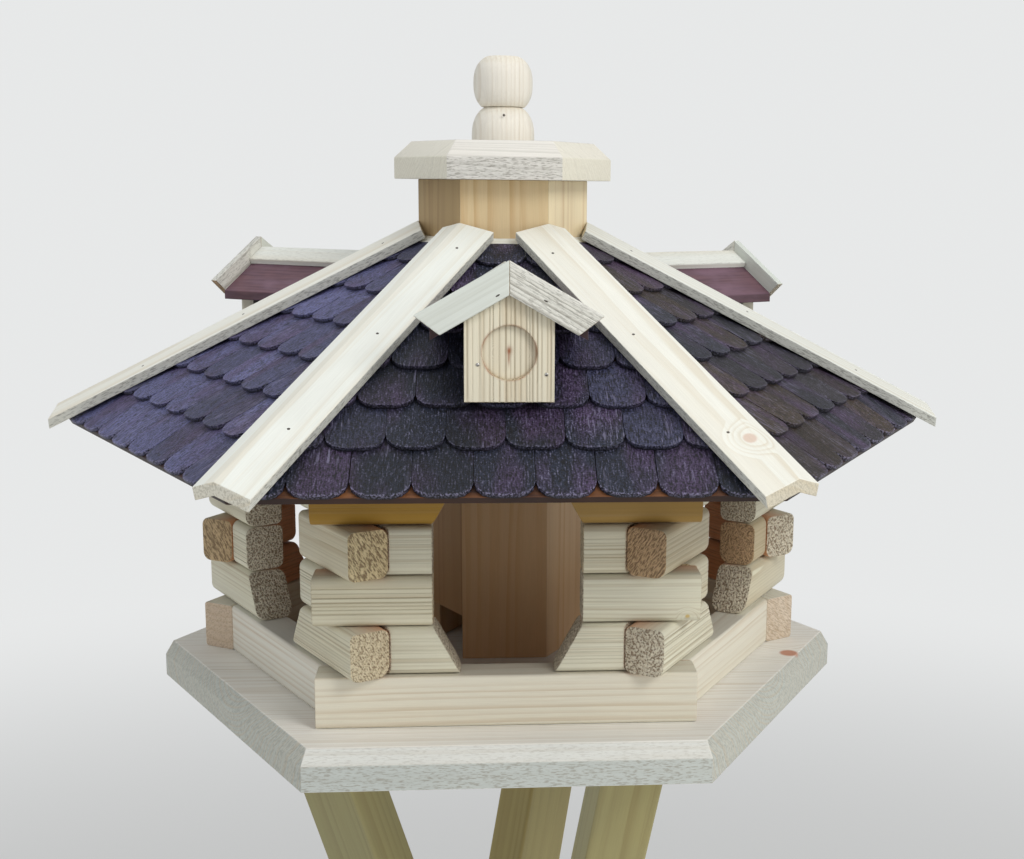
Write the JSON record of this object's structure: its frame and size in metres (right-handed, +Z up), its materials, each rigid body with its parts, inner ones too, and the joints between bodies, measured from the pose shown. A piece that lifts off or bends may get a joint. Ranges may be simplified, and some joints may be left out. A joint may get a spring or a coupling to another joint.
{
  "type": "bird feeder",
  "caption": "Six-sided log-built wooden bird feeder with a shingled roof, dormers and a lidded seed silo, on a stand of crossed bars.",
  "frame": {"origin": "on the ground under the middle line of the house", "axes": "+Z up, the front window faces -Y, +X to the right seen from the front"},
  "size_m": [0.559, 0.5058, 1.4956],
  "materials": {
    "floor_board": "weathered planed softwood, greyish at the edge",
    "leg_bar": "planed softwood bar, smooth",
    "sill_rail": "planed softwood, smooth",
    "wall_log": "finely ribbed softwood lath, rough-sawn end grain",
    "silo_board": "planed softwood board",
    "stained_sheet": "thin board with a reddish brown stain",
    "stained_shingle": "brushed wooden shingle with a dark purple brown stain",
    "roof_trim": "smooth pale planed softwood with grey sawn edges",
    "gable_board": "softwood with fine upright planed ridges",
    "lid_board": "weathered softwood, rough on the bevel",
    "turned_knob": "turned softwood, smooth"
  },
  "bodies": {
    "house": {"base_plate": "floor_board", "stand_leg_a": "leg_bar", "stand_leg_b": "leg_bar", "stand_leg_c": "leg_bar", "sill_rails_through": "sill_rail", "sill_rails_between": "sill_rail", "logs_course_1_through": "wall_log", "logs_course_1_between": "wall_log", "logs_course_2_through": "wall_log", "logs_course_2_between": "wall_log", "logs_course_3_through": "wall_log", "logs_course_3_between": "wall_log", "logs_course_4_through": "wall_log", "logs_course_4_between": "wall_log", "logs_course_5_through": "wall_log", "logs_course_5_between": "wall_log", "wall_plates_through": "wall_log", "wall_plates_between": "wall_log", "silo_board_front": "silo_board", "silo_board_front_right": "silo_board", "silo_board_back_right": "silo_board", "silo_board_back": "silo_board", "silo_board_back_left": "silo_board", "silo_board_front_left": "silo_board", "roof_sheets_with_dormer": "stained_sheet", "roof_sheets_plain": "stained_sheet", "shingles_with_dormer": "stained_shingle", "shingles_plain": "stained_shingle", "silo_strips": "roof_trim", "hip_cap_right": "roof_trim", "hip_cap_back_right": "roof_trim", "hip_cap_back_left": "roof_trim", "hip_cap_left": "roof_trim", "hip_cap_front_left": "roof_trim", "hip_cap_front_right": "roof_trim", "dormer_gables": "gable_board", "dormer_planks_left": "stained_sheet", "dormer_planks_right": "stained_sheet", "dormer_barges_left": "roof_trim", "dormer_barges_right": "roof_trim", "dormer_ridge_caps": "roof_trim"},
    "lid": {"lid_plate": "lid_board", "lid_plug": "lid_board", "lid_knob_lower": "turned_knob", "lid_knob_upper": "turned_knob"}
  },
  "joints": [
    {"name": "lid_lift", "type": "slide", "parent": "house", "child": "lid", "axis": [0, 0, 1], "range_m": [0, 0.1]}
  ]
}
